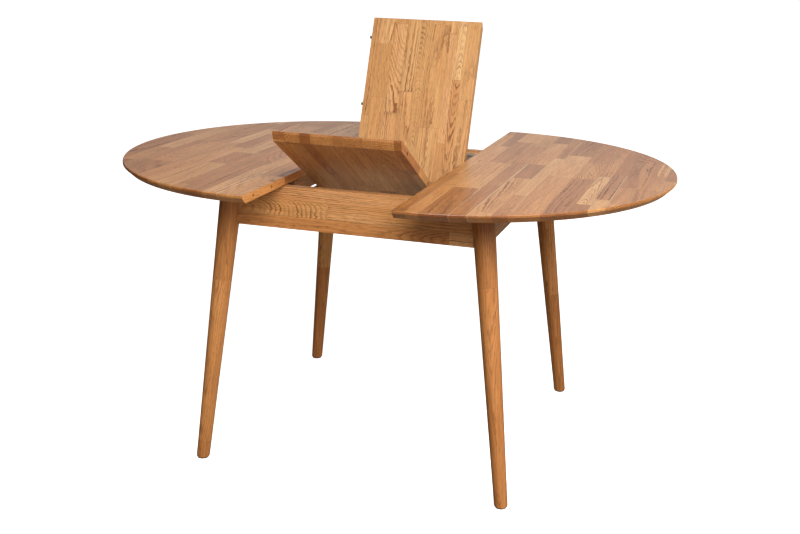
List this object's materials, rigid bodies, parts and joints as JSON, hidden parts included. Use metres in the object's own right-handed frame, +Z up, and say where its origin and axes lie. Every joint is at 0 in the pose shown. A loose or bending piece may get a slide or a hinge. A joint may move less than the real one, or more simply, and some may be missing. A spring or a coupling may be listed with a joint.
{
  "type": "butterfly leaf table",
  "caption": "Round oak dining table on splayed round legs; its top slides apart in halves and a folding butterfly leaf swings up out of the frame to lengthen it.",
  "frame": {"origin": "on the floor, under the middle of the leg frame", "axes": "+Z up; the halves of the top slide along X; -Y is the side the front leaf panel unfolds to"},
  "size_m": [1.4388, 1.075, 1.0912],
  "materials": {
    "oiled_oak": "edge-glued oak staves, oiled",
    "inner_oak": "planed oak, thinly oiled",
    "pin_steel": "turned steel, dull and dark",
    "slide_steel": "drawn steel, bare",
    "zinc_steel": "zinc-plated steel",
    "brass": "turned brass, dull",
    "nylon": "moulded nylon, natural",
    "glide_plastic": "moulded polyethylene, brown"
  },
  "bodies": {
    "leg_frame": {"apron_front": "oiled_oak", "apron_left": "oiled_oak", "apron_rear": "oiled_oak", "apron_right": "oiled_oak", "corner_block_front_left": "inner_oak", "corner_block_front_right": "inner_oak", "corner_block_rear_left": "inner_oak", "corner_block_rear_right": "inner_oak", "cross_rail_left": "inner_oak", "cross_rail_right": "inner_oak", "foot_glides": "glide_plastic", "leg_bolts": "zinc_steel", "leg_front_left": "oiled_oak", "leg_front_right": "oiled_oak", "leg_nuts": "zinc_steel", "leg_rear_left": "oiled_oak", "leg_rear_right": "oiled_oak", "leg_washers": "zinc_steel", "pinion_axle_front": "slide_steel", "pinion_axle_rear": "slide_steel", "pivot_pin_left": "zinc_steel", "pivot_pin_right": "zinc_steel", "pivot_plate_left": "zinc_steel", "pivot_plate_right": "zinc_steel", "plate_screws": "zinc_steel", "rail_screws": "zinc_steel", "slide_packer_front": "inner_oak", "slide_packer_rear": "inner_oak", "slide_rail_front": "slide_steel", "slide_rail_rear": "slide_steel"},
    "left_half": {"bar_screws_left": "zinc_steel", "runner_front_left": "inner_oak", "runner_rear_left": "inner_oak", "runner_screws_left": "zinc_steel", "slide_bar_front_left": "slide_steel", "slide_bar_rear_left": "slide_steel", "top_left": "oiled_oak"},
    "right_half": {"bar_screws_right": "zinc_steel", "runner_front_right": "inner_oak", "runner_rear_right": "inner_oak", "runner_screws_right": "zinc_steel", "slide_bar_front_right": "slide_steel", "slide_bar_rear_right": "slide_steel", "top_dowels": "pin_steel", "top_right": "oiled_oak"},
    "front_pinion": {"pinion_front": "nylon"},
    "rear_pinion": {"pinion_rear": "nylon"},
    "rear_leaf_panel": {"bracket_screws": "zinc_steel", "hinge_barrels_rear": "brass", "leaf_bracket_left": "zinc_steel", "leaf_bracket_right": "zinc_steel", "leaf_dowels_rear": "pin_steel", "leaf_panel_rear": "oiled_oak"},
    "front_leaf_panel": {"hinge_barrels_front": "brass", "leaf_dowels_front": "pin_steel", "leaf_panel_front": "oiled_oak"}
  },
  "joints": [
    {"name": "left_half_slide", "type": "slide", "parent": "leg_frame", "child": "left_half", "axis": [-1, 0, 0], "range_m": [-0.0197, 0]},
    {"name": "right_half_slide", "type": "slide", "parent": "leg_frame", "child": "right_half", "axis": [1, 0, 0], "range_m": [-0.0197, 0]},
    {"name": "front_pinion_turn", "type": "hinge", "parent": "leg_frame", "child": "front_pinion", "pos_m": [0, -0.2798, 0.7035], "axis": [0, 1, 0], "range_deg": [-0.5, 126]},
    {"name": "rear_pinion_turn", "type": "hinge", "parent": "leg_frame", "child": "rear_pinion", "pos_m": [0, 0.2798, 0.7035], "axis": [0, 1, 0], "range_deg": [-0.5, 126]},
    {"name": "leaf_swing", "type": "hinge", "parent": "leg_frame", "child": "rear_leaf_panel", "pos_m": [0, 0.13437, 0.698], "axis": [1, 0, 0], "range_deg": [-68.4, 53]},
    {"name": "leaf_fold", "type": "hinge", "parent": "rear_leaf_panel", "child": "front_leaf_panel", "pos_m": [0, 0.03656, 0.5922], "axis": [1, 0, 0], "range_deg": [-78.2, 100.6]}
  ],
  "couplings": [
    {"joint": "right_half_slide", "follows": "left_half_slide", "ratio": 1},
    {"joint": "front_pinion_turn", "follows": "left_half_slide", "rad_per_m": -111.11},
    {"joint": "rear_pinion_turn", "follows": "left_half_slide", "rad_per_m": -111.11},
    {"joint": "leaf_fold", "follows": "leaf_swing", "ratio": -1.4693}
  ]
}
